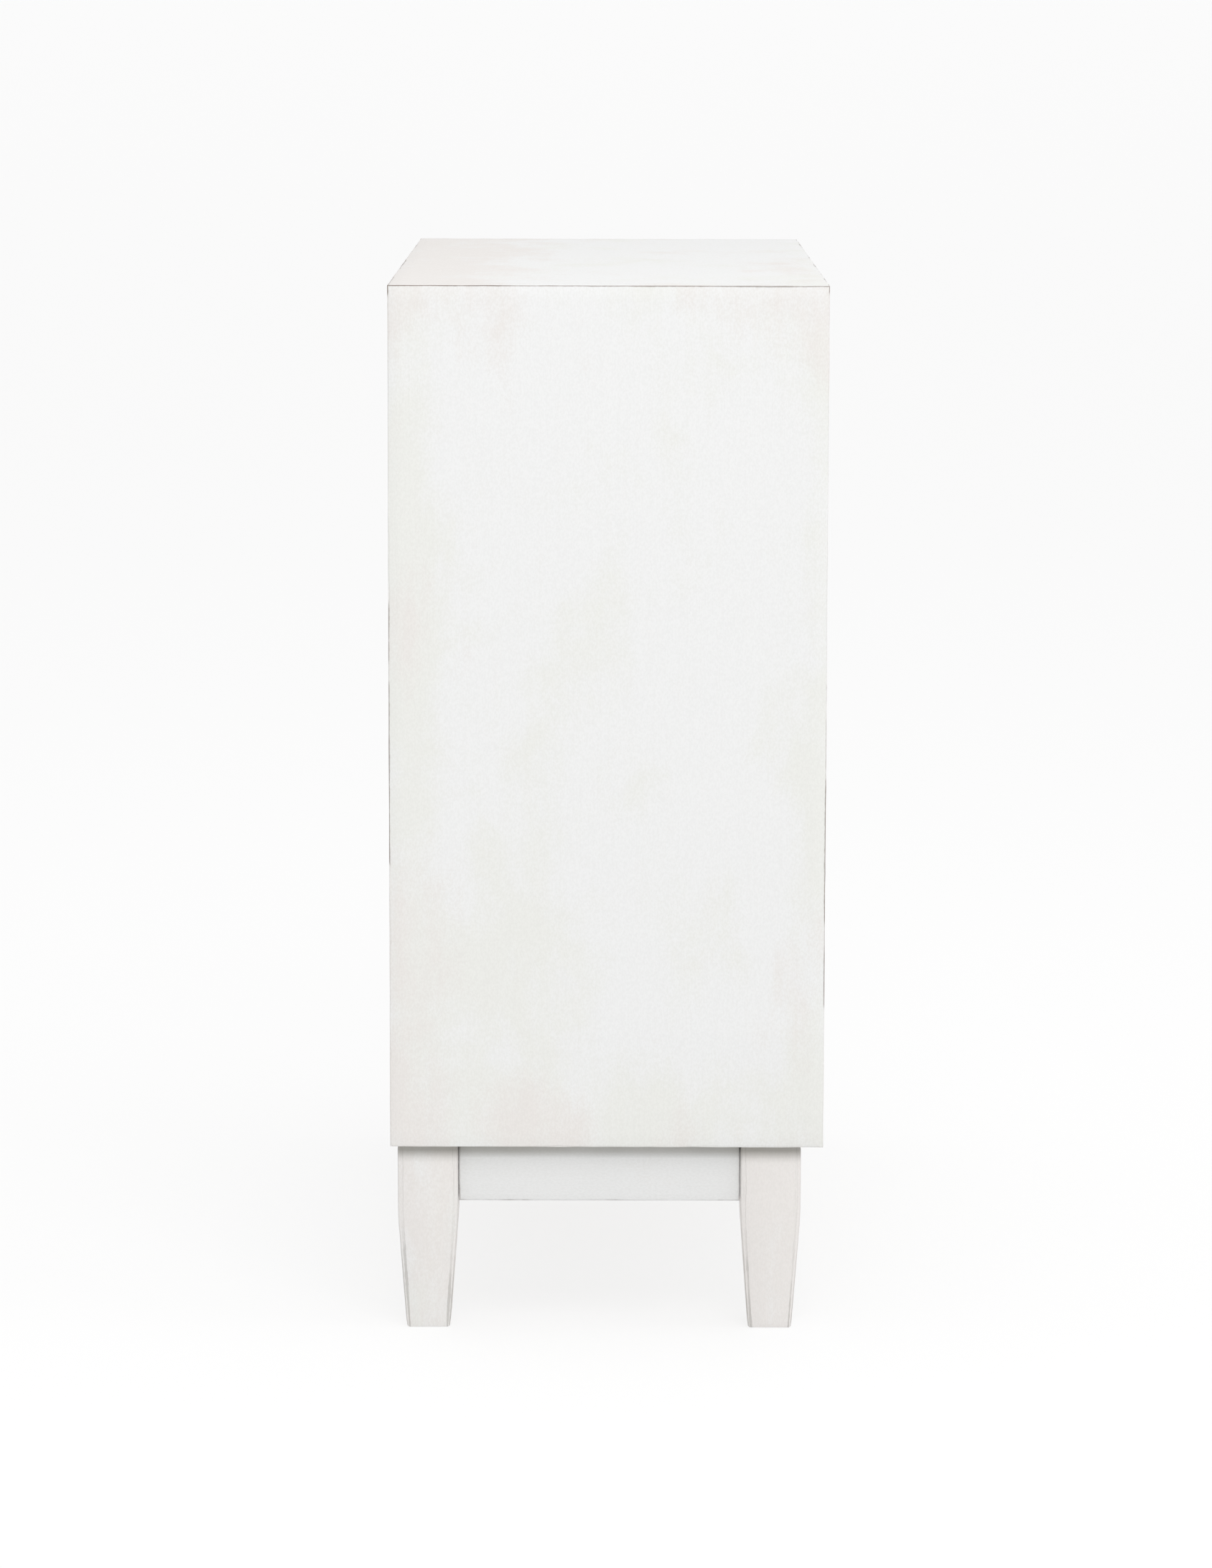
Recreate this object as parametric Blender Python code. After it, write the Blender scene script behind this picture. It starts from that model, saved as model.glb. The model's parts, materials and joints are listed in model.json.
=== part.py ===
"""A free-standing apothecary cabinet: a mitred case of small inset drawers on a low base of tapered legs.

Metres, +Z up. The drawers face -Y, the cabinet's width runs along X, and the floor is Z = 0.
Shelves run across the case and dividers run up it, half-lapped where they meet and let into stopped
grooves in the case boards. They and the drawer fronts are set back, so that the case stands proud as a
frame and the pulls end level with its front edges. The base is a frame of aprons tenoned into the legs.
Each drawer is an applied front, a box and a cast pull, and slides forward on the shelf below it.
"""

import math

import bmesh
import bpy
from mathutils import Matrix, Vector

# ---------------------------------------------------------------- driving dimensions

CASE_WIDTH = 0.800
CASE_DEPTH = 0.356
CASE_HEIGHT = 0.706
BASE_HEIGHT = 0.155
COLUMNS = 3
ROWS = 4

CASE_BOARD = 0.018  # sides, top and bottom
GRID_BOARD = 0.015  # shelves and dividers
BACK_BOARD = 0.005
RABBET_WIDTH = 0.009  # taken out of each case board's thickness for the back
RABBET_DEPTH = 0.006
GROOVE_DEPTH = 0.005  # how far shelves and dividers enter the case boards
GROOVE_STOP = 0.012  # the grooves stop this far behind the shelves' front edges
FRONT_RECESS = 0.020  # drawer fronts, shelves and dividers behind the case front
FIT = 0.0003  # clearance left in every joint

LEG_TOP = 0.050
LEG_FOOT = 0.036
LEG_CHAMFER = 0.003
LEG_CURVE = 0.022  # height over which the straight top turns into the taper
SIDE_OVERHANG = 0.006  # case beyond the legs at the sides and the back
FRONT_OVERHANG = 0.018

APRON_HEIGHT = 0.048
APRON_THICKNESS = 0.020
APRON_SETBACK = 0.008  # apron face behind the leg face
TENON_LENGTH = 0.020
TENON_THICKNESS = 0.010
TENON_SHOULDER = 0.005
BRACE_HEIGHT = 0.038
BRACE_THICKNESS = 0.020

DRAWER_GAP = 0.0015  # reveal round each drawer front
DRAWER_FRONT = 0.016
FRONT_BEVEL = 0.0015
BOX_SIDE_GAP = 0.002
BOX_HEIGHT = 0.128
BOX_WALL = 0.010
BOX_FLOOR = 0.005
BOX_FLOOR_RAISE = 0.006
BOX_STOP_GAP = 0.0005  # between the box and the case back when the front is flush

PULL_WIDTH = 0.076
PULL_HEIGHT = 0.054
PULL_PLATE = 0.002
PULL_REACH = 0.020
PULL_WALL = 0.002
PULL_RIM = 0.0012
CUP_WIDTH = 0.056
CARD_WIDTH = 0.056
CARD_HEIGHT = 0.019
CARD_BORDER = 0.005  # metal above and beside the card window

# ---------------------------------------------------------------- derived places

FRONT_Y = -CASE_DEPTH / 2
BACK_Y = CASE_DEPTH / 2
FACE_Y = FRONT_Y + FRONT_RECESS
CASE_BOTTOM = BASE_HEIGHT
CASE_TOP = BASE_HEIGHT + CASE_HEIGHT
INNER_HALF_WIDTH = CASE_WIDTH / 2 - CASE_BOARD
INNER_BOTTOM = CASE_BOTTOM + CASE_BOARD
INNER_TOP = CASE_TOP - CASE_BOARD
INNER_BACK = BACK_Y - RABBET_DEPTH
GRID_MIDDLE = (FACE_Y + INNER_BACK) / 2
GROOVE_START = FACE_Y + GROOVE_STOP

OPENING_WIDTH = (2 * INNER_HALF_WIDTH - (COLUMNS - 1) * GRID_BOARD) / COLUMNS
OPENING_HEIGHT = (INNER_TOP - INNER_BOTTOM - (ROWS - 1) * GRID_BOARD) / ROWS
COLUMN_PITCH = OPENING_WIDTH + GRID_BOARD
ROW_PITCH = OPENING_HEIGHT + GRID_BOARD

LEG_OUTER_X = CASE_WIDTH / 2 - SIDE_OVERHANG
LEG_FRONT_Y = FRONT_Y + FRONT_OVERHANG
LEG_BACK_Y = BACK_Y - SIDE_OVERHANG
BASE_TOP = BASE_HEIGHT - FIT
APRON_BOTTOM = BASE_HEIGHT - APRON_HEIGHT


def column_centre(column):
    """X of the middle of a column of drawers, counted from 0 at the left."""
    return (column - (COLUMNS - 1) / 2) * COLUMN_PITCH


def row_floor(row):
    """Z of the surface that a row of drawers slides on, counted from 0 at the bottom."""
    return INNER_BOTTOM + row * ROW_PITCH


def divider_centres():
    return [column_centre(column) + COLUMN_PITCH / 2 for column in range(COLUMNS - 1)]


def shelf_centres():
    return [row_floor(row) - GRID_BOARD / 2 for row in range(1, ROWS)]


# ---------------------------------------------------------------- materials


def make_material(name, colour, roughness, metallic=0.0):
    material = bpy.data.materials.new(name)
    material.use_nodes = True
    shader = material.node_tree.nodes["Principled BSDF"]
    shader.inputs["Base Color"].default_value = (*colour, 1.0)
    shader.inputs["Roughness"].default_value = roughness
    shader.inputs["Metallic"].default_value = metallic
    return material


def make_materials():
    return {
        "painted_wood": make_material("painted_wood", (0.86, 0.85, 0.82), 0.55),
        "drawer_wood": make_material("drawer_wood", (0.62, 0.47, 0.31), 0.6),
        "back_board": make_material("back_board", (0.72, 0.69, 0.63), 0.7),
        "aged_bronze": make_material("aged_bronze", (0.12, 0.085, 0.055), 0.45, 0.9),
    }


# ---------------------------------------------------------------- modelling helpers


def clear_scene():
    for thing in list(bpy.data.objects):
        bpy.data.objects.remove(thing)


def mesh_from(name, shape, material=None):
    """Turns a bmesh into a mesh with its faces pointing out."""
    bmesh.ops.recalc_face_normals(shape, faces=shape.faces)
    mesh = bpy.data.meshes.new(name)
    shape.to_mesh(mesh)
    shape.free()
    if material:
        mesh.materials.append(material)
    return mesh


def place(name, mesh, location=(0, 0, 0), parent=None):
    thing = bpy.data.objects.new(name, mesh)
    bpy.context.scene.collection.objects.link(thing)
    thing.location = location
    thing.parent = parent
    return thing


def block_shape(low, high):
    """A rectangular block between two corners, as a bmesh."""
    shape = bmesh.new()
    size = Vector(high) - Vector(low)
    centre = (Vector(high) + Vector(low)) / 2
    bmesh.ops.create_cube(shape, size=1, matrix=Matrix.Translation(centre) @ Matrix.Diagonal((*size, 1)))
    return shape


def draw_out(shape, face, move, is_solid=True):
    """Extrudes one face by a vector and returns the face at the new end. A solid's old face is removed."""
    extruded = bmesh.ops.extrude_face_region(shape, geom=[face])["geom"]
    bmesh.ops.translate(shape, verts=[item for item in extruded if isinstance(item, bmesh.types.BMVert)], vec=move)
    if is_solid:
        bmesh.ops.delete(shape, geom=[face], context="FACES")
    end = next(item for item in extruded if isinstance(item, bmesh.types.BMFace))
    shape.normal_update()
    return end


def board_shape(outline, along):
    """A flat outline of 3-D points, extruded by the vector along."""
    shape = bmesh.new()
    face = shape.faces.new([shape.verts.new(point) for point in outline])
    draw_out(shape, face, along, is_solid=False)
    return shape


def combine(thing, operation, other):
    """Adds a Boolean that joins or cuts thing by other, which is hidden as a helper."""
    modifier = thing.modifiers.new(other.name, "BOOLEAN")
    modifier.operation = operation
    modifier.object = other
    other.hide_render = True
    other.display_type = "WIRE"


def cutter(name, low, high):
    centre = (Vector(low) + Vector(high)) / 2
    mesh = mesh_from(name, block_shape(Vector(low) - centre, Vector(high) - centre))
    return place(name, mesh, centre)


# ---------------------------------------------------------------- case


def make_case(materials):
    """Four case boards mitred at the corners, grooved for the shelves and dividers, with a let-in back."""
    paint = materials["painted_wood"]
    half = CASE_WIDTH / 2
    mitre_gap = FIT * math.sqrt(2)
    depth = Vector((0, CASE_DEPTH, 0))

    grooves = []
    for number, height in enumerate(shelf_centres(), 1):
        reach = INNER_HALF_WIDTH + GROOVE_DEPTH
        low = (-reach, GROOVE_START - FIT, height - GRID_BOARD / 2 - FIT)
        high = (reach, BACK_Y - RABBET_DEPTH / 2, height + GRID_BOARD / 2 + FIT)
        grooves.append(cutter(f"shelf_groove_{number}", low, high))
    slots = []
    for number, middle in enumerate(divider_centres(), 1):
        low = (middle - GRID_BOARD / 2 - FIT, GROOVE_START - FIT, INNER_BOTTOM - GROOVE_DEPTH)
        high = (middle + GRID_BOARD / 2 + FIT, BACK_Y - RABBET_DEPTH / 2, INNER_TOP + GROOVE_DEPTH)
        slots.append(cutter(f"divider_groove_{number}", low, high))
    rabbet_half = INNER_HALF_WIDTH + RABBET_WIDTH
    rabbet_low = (-rabbet_half, BACK_Y - RABBET_DEPTH, INNER_BOTTOM - RABBET_WIDTH)
    rabbet_high = (rabbet_half, BACK_Y + RABBET_DEPTH, INNER_TOP + RABBET_WIDTH)
    rabbet = cutter("back_rabbet", rabbet_low, rabbet_high)

    for name, side in (("side_panel_left", -1), ("side_panel_right", 1)):
        outer = side * half
        inner = side * INNER_HALF_WIDTH
        outline = [
            (outer, FRONT_Y, CASE_BOTTOM),
            (outer, FRONT_Y, CASE_TOP),
            (inner, FRONT_Y, INNER_TOP),
            (inner, FRONT_Y, INNER_BOTTOM),
        ]
        panel = place(name, mesh_from(name, board_shape(outline, depth), paint))
        for groove in [*grooves, rabbet]:
            combine(panel, "DIFFERENCE", groove)

    for name, outer, inner in (
        ("bottom_panel", CASE_BOTTOM, INNER_BOTTOM),
        ("top_panel", CASE_TOP, INNER_TOP),
    ):
        outline = [
            (-half + mitre_gap, FRONT_Y, outer),
            (half - mitre_gap, FRONT_Y, outer),
            (INNER_HALF_WIDTH - mitre_gap, FRONT_Y, inner),
            (-INNER_HALF_WIDTH + mitre_gap, FRONT_Y, inner),
        ]
        panel = place(name, mesh_from(name, board_shape(outline, depth), paint))
        for groove in [*slots, rabbet]:
            combine(panel, "DIFFERENCE", groove)

    back_low = (-rabbet_half + FIT, INNER_BACK + FIT, INNER_BOTTOM - RABBET_WIDTH + FIT)
    back_high = (rabbet_half - FIT, INNER_BACK + FIT + BACK_BOARD, INNER_TOP + RABBET_WIDTH - FIT)
    place("back_panel", mesh_from("back_panel", block_shape(back_low, back_high), materials["back_board"]))


def make_grid(materials):
    """Shelves slotted from behind and dividers slotted from the front, so that they pass through each other."""
    paint = materials["painted_wood"]
    slot = GRID_BOARD / 2 + FIT
    back = INNER_BACK - FIT
    wide = INNER_HALF_WIDTH + GROOVE_DEPTH - FIT
    narrow = INNER_HALF_WIDTH - FIT

    for number, height in enumerate(shelf_centres(), 1):
        plan = [(-narrow, FACE_Y), (narrow, FACE_Y), (narrow, GROOVE_START), (wide, GROOVE_START), (wide, back)]
        for middle in reversed(divider_centres()):
            plan += [(middle + slot, back), (middle + slot, GRID_MIDDLE)]
            plan += [(middle - slot, GRID_MIDDLE), (middle - slot, back)]
        plan += [(-wide, back), (-wide, GROOVE_START), (-narrow, GROOVE_START)]
        outline = [(x, y, -GRID_BOARD / 2) for x, y in plan]
        shape = board_shape(outline, Vector((0, 0, GRID_BOARD)))
        place(f"shelf_{number}", mesh_from(f"shelf_{number}", shape, paint), (0, 0, height))

    low, high = INNER_BOTTOM + FIT, INNER_TOP - FIT
    tongue = GROOVE_DEPTH - FIT
    for name, middle in zip(("divider_left", "divider_right"), divider_centres()):
        section = [(FACE_Y, low), (GROOVE_START, low), (GROOVE_START, INNER_BOTTOM - tongue)]
        section += [(back, INNER_BOTTOM - tongue), (back, INNER_TOP + tongue)]
        section += [(GROOVE_START, INNER_TOP + tongue), (GROOVE_START, high), (FACE_Y, high)]
        for height in reversed(shelf_centres()):
            section += [(FACE_Y, height + slot), (GRID_MIDDLE + FIT, height + slot)]
            section += [(GRID_MIDDLE + FIT, height - slot), (FACE_Y, height - slot)]
        outline = [(-GRID_BOARD / 2, y, z) for y, z in section]
        shape = board_shape(outline, Vector((GRID_BOARD, 0, 0)))
        place(name, mesh_from(name, shape, paint), (middle, 0, 0))


# ---------------------------------------------------------------- base


def leg_half_width(height):
    """Half the leg's width at a height: straight beside the aprons, then a soft turn into a straight taper."""
    fall = APRON_BOTTOM - height
    if fall <= 0:
        return LEG_TOP / 2
    slope = (LEG_TOP - LEG_FOOT) / 2 / (APRON_BOTTOM - LEG_CURVE / 2)
    if fall < LEG_CURVE:
        return LEG_TOP / 2 - slope * fall * fall / (2 * LEG_CURVE)
    return LEG_TOP / 2 - slope * (fall - LEG_CURVE / 2)


def leg_shape():
    """A square leg drawn down from its top face in steps, with its four long edges chamfered."""
    curve_steps = 4
    heights = [APRON_BOTTOM - LEG_CURVE * step / curve_steps for step in range(curve_steps + 1)] + [0.0]
    shape = bmesh.new()
    half = LEG_TOP / 2
    corners = [(-half, -half), (half, -half), (half, half), (-half, half)]
    end = shape.faces.new([shape.verts.new((x, y, BASE_TOP)) for x, y in corners])
    above = BASE_TOP
    for height in heights:
        end = draw_out(shape, end, (0, 0, height - above), is_solid=above < BASE_TOP)
        for vert in end.verts:
            vert.co.x = math.copysign(leg_half_width(height), vert.co.x)
            vert.co.y = math.copysign(leg_half_width(height), vert.co.y)
        above = height
    bmesh.ops.recalc_face_normals(shape, faces=shape.faces)
    long_edges = [e for e in shape.edges if abs(e.verts[0].co.z - e.verts[1].co.z) > LEG_CHAMFER / 2]
    bmesh.ops.bevel(shape, geom=long_edges, offset=LEG_CHAMFER, segments=1, affect="EDGES", clamp_overlap=True)
    return shape


def make_base(materials):
    """Four legs, the aprons tenoned between them, a corner brace behind each leg and a cross rail."""
    paint = materials["painted_wood"]
    half = LEG_TOP / 2
    apron_middle = half - APRON_SETBACK - APRON_THICKNESS / 2  # from the leg's middle out to the apron's
    legs = {
        "front_left": (-LEG_OUTER_X + half, LEG_FRONT_Y + half, 0),
        "front_right": (LEG_OUTER_X - half, LEG_FRONT_Y + half, 90),
        "back_right": (LEG_OUTER_X - half, LEG_BACK_Y - half, 180),
        "back_left": (-LEG_OUTER_X + half, LEG_BACK_Y - half, 270),
    }

    # Each leg is one shape turned about its own axis, mortised in the two faces that meet an apron.
    mortise_low = APRON_BOTTOM + TENON_SHOULDER - FIT
    mortise_high = BASE_HEIGHT - TENON_SHOULDER + FIT
    mortise_half = TENON_THICKNESS / 2 + FIT
    mortise_end = half - TENON_LENGTH - FIT
    beyond = half + LEG_CHAMFER
    leg_mesh = mesh_from("leg", leg_shape(), paint)
    inner = APRON_SETBACK + APRON_THICKNESS - half + FIT  # just inside the aprons' inner faces
    near = LEG_TOP + 2 * FIT - inner
    far = near + BRACE_THICKNESS * math.sqrt(2)
    brace_plan = [(near, inner), (far, inner), (inner, far), (inner, near)]
    brace_bottom = BASE_TOP - BRACE_HEIGHT
    brace_outline = [(x, y, brace_bottom) for x, y in brace_plan]
    brace_mesh = mesh_from("corner_brace", board_shape(brace_outline, Vector((0, 0, BRACE_HEIGHT))), paint)
    for corner, (x, y, turn) in legs.items():
        leg = place(f"leg_{corner}", leg_mesh, (x, y, 0))
        leg.rotation_euler.z = math.radians(turn)
        faces_x = cutter(
            f"mortise_x_{corner}",
            (mortise_end, -apron_middle - mortise_half, mortise_low),
            (beyond, -apron_middle + mortise_half, mortise_high),
        )
        faces_y = cutter(
            f"mortise_y_{corner}",
            (-apron_middle - mortise_half, mortise_end, mortise_low),
            (-apron_middle + mortise_half, beyond, mortise_high),
        )
        for mortise in (faces_x, faces_y):
            mortise.parent = leg
            combine(leg, "DIFFERENCE", mortise)
        brace = place(f"corner_brace_{corner}", brace_mesh, (x, y, 0))
        brace.rotation_euler.z = math.radians(turn)

    # An apron is a bar with a thinner, lower tongue at each end, modelled along X about its own middle.
    span_x = 2 * (LEG_OUTER_X - LEG_TOP)
    span_y = LEG_BACK_Y - LEG_FRONT_Y - 2 * LEG_TOP
    middle_y = (LEG_FRONT_Y + LEG_BACK_Y) / 2
    outward_x = LEG_OUTER_X - half + apron_middle
    aprons = (
        ("apron_front", span_x, (0, LEG_FRONT_Y + half - apron_middle, 0), 0),
        ("apron_back", span_x, (0, LEG_BACK_Y - half + apron_middle, 0), 0),
        ("apron_left", span_y, (-outward_x, middle_y, 0), 90),
        ("apron_right", span_y, (outward_x, middle_y, 0), 90),
    )
    for name, span, location, turn in aprons:
        apron = place(name, mesh_from(name, apron_shape(span), paint), location)
        apron.rotation_euler.z = math.radians(turn)

    rail_front = LEG_FRONT_Y + APRON_SETBACK + APRON_THICKNESS + FIT
    rail_back = LEG_BACK_Y - APRON_SETBACK - APRON_THICKNESS - FIT
    low = (-APRON_THICKNESS / 2, rail_front, brace_bottom)
    high = (APRON_THICKNESS / 2, rail_back, BASE_TOP)
    place("cross_rail", mesh_from("cross_rail", block_shape(low, high), paint))


def apron_shape(span):
    """A bar along X with a tenon drawn out of each end face."""
    half = span / 2 - FIT
    shape = block_shape((-half, -APRON_THICKNESS / 2, APRON_BOTTOM), (half, APRON_THICKNESS / 2, BASE_TOP))
    for end in (-1, 1):
        face = next(f for f in shape.faces if f.normal.x * end > 0.9)
        bmesh.ops.inset_region(shape, faces=[face], thickness=TENON_SHOULDER, use_even_offset=True)
        draw_out(shape, face, (end * TENON_LENGTH, 0, 0))
    return shape


# ---------------------------------------------------------------- drawers


def drawer_front_mesh(material):
    """The applied front, about the middle of its face, with the four edges of the face eased."""
    half_width = OPENING_WIDTH / 2 - DRAWER_GAP
    half_height = OPENING_HEIGHT / 2 - DRAWER_GAP
    shape = block_shape((-half_width, 0, -half_height), (half_width, DRAWER_FRONT, half_height))
    shape.normal_update()
    face = next(f for f in shape.faces if f.normal.y < -0.9)
    bmesh.ops.bevel(shape, geom=list(face.edges), offset=FRONT_BEVEL, segments=2, profile=0.5, affect="EDGES")
    return mesh_from("drawer_front", shape, material)


def drawer_box_mesh(material):
    """An open box with its floor raised in a groove, placed behind the drawer front."""
    half_width = OPENING_WIDTH / 2 - BOX_SIDE_GAP
    bottom = -OPENING_HEIGHT / 2 + FIT
    near = DRAWER_FRONT + FIT
    far = INNER_BACK - BOX_STOP_GAP - FACE_Y
    shape = block_shape((-half_width, near, bottom), (half_width, far, bottom + BOX_HEIGHT))
    shape.normal_update()
    depths = {1: BOX_HEIGHT - BOX_FLOOR_RAISE - BOX_FLOOR, -1: BOX_FLOOR_RAISE}
    for up, depth in depths.items():
        face = next(f for f in shape.faces if f.normal.z * up > 0.9)
        bmesh.ops.inset_region(shape, faces=[face], thickness=BOX_WALL, use_even_offset=True)
        draw_out(shape, face, (0, 0, -up * depth))
    return mesh_from("drawer_box", shape, material)


def quarter_round(name, radius, half_width, start, below):
    """A quarter-round bar along X under a bin pull's shell. Its arc runs from the back at the top to the front."""
    arc_steps = 10
    bottom = -PULL_HEIGHT / 2
    angles = [math.pi / 2 * step / arc_steps for step in range(arc_steps + 1)]
    section = [(-radius * math.sin(angle), bottom + radius * math.cos(angle)) for angle in angles]
    section[0] = (start, section[0][1])
    section += [(-radius, bottom - below), (start, bottom - below)] if below else [(start, bottom)]
    outline = [(-half_width, y, z) for y, z in section]
    return place(name, mesh_from(name, board_shape(outline, Vector((2 * half_width, 0, 0)))))


def make_pull_mesh(material):
    """A cast plate with a rimmed card window above a quarter-round finger cup that is open below."""
    half_width, half_height = PULL_WIDTH / 2, PULL_HEIGHT / 2
    back = -FIT
    plate_shape = block_shape((-half_width, back - PULL_PLATE, -half_height), (half_width, back, half_height))
    upright = [e for e in plate_shape.edges if abs(e.verts[0].co.y - e.verts[1].co.y) > PULL_PLATE / 2]
    bmesh.ops.bevel(plate_shape, geom=upright, offset=0.005, segments=4, profile=0.5, affect="EDGES")
    plate = place("pull_plate", mesh_from("pull_plate", plate_shape, material))

    card_top = half_height - CARD_BORDER
    card_bottom = card_top - CARD_HEIGHT
    card_half = CARD_WIDTH / 2
    rim = cutter(
        "pull_rim",
        (-card_half - PULL_RIM * 2, back - PULL_PLATE - PULL_RIM, card_bottom - PULL_RIM * 2),
        (card_half + PULL_RIM * 2, back - PULL_PLATE / 2, card_top + PULL_RIM * 2),
    )
    window = cutter(
        "pull_window",
        (-card_half, back - PULL_PLATE - 2 * PULL_RIM, card_bottom),
        (card_half, back + PULL_PLATE, card_top),
    )
    cup = quarter_round("pull_cup", PULL_REACH, CUP_WIDTH / 2, back - PULL_PLATE / 2, 0)
    hollow = quarter_round(
        "pull_hollow", PULL_REACH - PULL_WALL, CUP_WIDTH / 2 - PULL_WALL, back - PULL_PLATE, 0.004
    )
    combine(plate, "UNION", rim)
    combine(plate, "DIFFERENCE", window)
    combine(plate, "UNION", cup)
    combine(plate, "DIFFERENCE", hollow)

    bpy.context.view_layer.update()
    evaluated = plate.evaluated_get(bpy.context.evaluated_depsgraph_get())
    mesh = bpy.data.meshes.new_from_object(evaluated)
    mesh.name = "pull"
    mesh.materials.clear()
    mesh.materials.append(material)
    for helper in (plate, rim, window, cup, hollow):
        bpy.data.objects.remove(helper)
    return mesh


def make_drawers(materials):
    """One empty per drawer on its line of travel, with the front, the box and the pull parented to it."""
    front_mesh = drawer_front_mesh(materials["painted_wood"])
    box_mesh = drawer_box_mesh(materials["drawer_wood"])
    pull_mesh = make_pull_mesh(materials["aged_bronze"])
    for row in range(ROWS):
        for column in range(COLUMNS):
            name = f"drawer_r{row + 1}_c{column + 1}"
            slide = bpy.data.objects.new(name, None)
            bpy.context.scene.collection.objects.link(slide)
            slide.location = (column_centre(column), FACE_Y, row_floor(row) + OPENING_HEIGHT / 2)
            place(f"{name}_front", front_mesh, parent=slide)
            place(f"{name}_box", box_mesh, parent=slide)
            place(f"{name}_pull", pull_mesh, parent=slide)


def main():
    clear_scene()
    materials = make_materials()
    make_case(materials)
    make_grid(materials)
    make_base(materials)
    make_drawers(materials)


main()
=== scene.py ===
"""The looks of a painted apothecary cabinet: twelve small drawers in a mitred case on a base of tapered legs.

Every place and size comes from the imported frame. The sections follow the cabinet as it goes together:
the case boards, the shelves and dividers, the back, the base, and then the drawers with their pulls.
"""

import json
import math

import bmesh
import bpy
from mathutils import Matrix, Vector

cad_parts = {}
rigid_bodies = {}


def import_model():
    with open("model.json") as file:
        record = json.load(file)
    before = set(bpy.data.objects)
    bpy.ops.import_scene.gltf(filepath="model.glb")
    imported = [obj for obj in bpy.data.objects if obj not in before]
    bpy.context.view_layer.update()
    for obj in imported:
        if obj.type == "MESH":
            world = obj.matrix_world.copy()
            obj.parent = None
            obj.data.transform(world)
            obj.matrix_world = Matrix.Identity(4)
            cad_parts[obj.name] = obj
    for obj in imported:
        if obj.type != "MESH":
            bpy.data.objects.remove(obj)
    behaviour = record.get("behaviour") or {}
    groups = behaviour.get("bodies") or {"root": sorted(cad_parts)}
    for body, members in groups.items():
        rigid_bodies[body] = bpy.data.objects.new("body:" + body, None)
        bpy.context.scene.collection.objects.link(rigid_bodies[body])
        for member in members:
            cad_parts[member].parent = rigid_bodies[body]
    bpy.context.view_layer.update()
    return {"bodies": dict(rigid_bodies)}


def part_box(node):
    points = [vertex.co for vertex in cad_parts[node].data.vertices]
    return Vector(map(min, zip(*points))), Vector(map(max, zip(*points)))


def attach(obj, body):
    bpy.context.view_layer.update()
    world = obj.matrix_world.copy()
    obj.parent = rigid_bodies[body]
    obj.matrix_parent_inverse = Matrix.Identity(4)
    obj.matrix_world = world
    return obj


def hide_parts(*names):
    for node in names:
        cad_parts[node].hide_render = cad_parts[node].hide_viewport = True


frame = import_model()

# ---------------------------------------------------------------- camera
# It stands well off the cabinet's left side, level with a person's chest, and looks a little down
# through a long lens, so that the side is square on and the top shows as a narrow strip.

camera_data = bpy.data.cameras.new("camera")
camera_data.sensor_fit = "VERTICAL"
camera_data.sensor_height = 36.0
camera_data.lens = 126.1
camera_data.clip_end = 1000.0
camera = bpy.data.objects.new("camera", camera_data)
bpy.context.scene.collection.objects.link(camera)
camera.location = (-4.818, 0.0, 1.105)
camera.rotation_euler = (math.radians(81.651), math.radians(-0.126), math.radians(-89.966))
bpy.context.scene.camera = camera

# ---------------------------------------------------------------- studio
# A white floor, an even white surround, and three large soft boxes: one over the camera's shoulder,
# one in front of the drawers and one overhead.

bpy.context.scene.view_settings.view_transform = "Standard"

world = bpy.data.worlds.new("studio")
world.use_nodes = True
world.node_tree.nodes["Background"].inputs["Color"].default_value = (1.0, 1.0, 1.0, 1.0)
world.node_tree.nodes["Background"].inputs["Strength"].default_value = 0.81
bpy.context.scene.world = world

bpy.ops.object.select_all(action="DESELECT")
bpy.ops.mesh.primitive_plane_add(size=1500.0)
floor = bpy.context.object
floor.name = "floor"
floor_paint = bpy.data.materials.new("white_floor")
floor_paint.use_nodes = True
floor_shader = floor_paint.node_tree.nodes["Principled BSDF"]
floor_shader.inputs["Base Color"].default_value = (0.24, 0.24, 0.24, 1.0)
floor_shader.inputs["Roughness"].default_value = 0.9
floor_shader.inputs["Emission Color"].default_value = (1.0, 1.0, 1.0, 1.0)
floor_shader.inputs["Emission Strength"].default_value = 0.71
floor.data.materials.append(floor_paint)


def hang_softbox(name, place, target, width, power):
    """Hangs a square area light at a place and turns it to face a target."""
    data = bpy.data.lights.new(name, "AREA")
    data.size = width
    data.energy = power
    box = bpy.data.objects.new(name, data)
    bpy.context.scene.collection.objects.link(box)
    box.location = place
    box.rotation_euler = (Vector(target) - Vector(place)).to_track_quat("-Z", "Y").to_euler()


hang_softbox("side_softbox", (-2.7, -0.5, 3.1), (-0.4, -0.1, 0.8), 2.0, 34.0)
hang_softbox("front_softbox", (-1.2, -4.4, 3.0), (0.0, 0.0, 0.4), 3.0, 30.0)
hang_softbox("overhead_softbox", (0.4, 0.2, 4.6), (0.0, 0.0, 0.8), 3.0, 19.0)

# ---------------------------------------------------------------- paint and bare wood
# The case and base are brushed with antique-white paint, which is cool on the broad faces and creamier
# and pinker towards the edges. A dark glaze lies in the joints and along the rubbed edges.
# Inside, past the front edges, the boards are left as bare pale wood.

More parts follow.
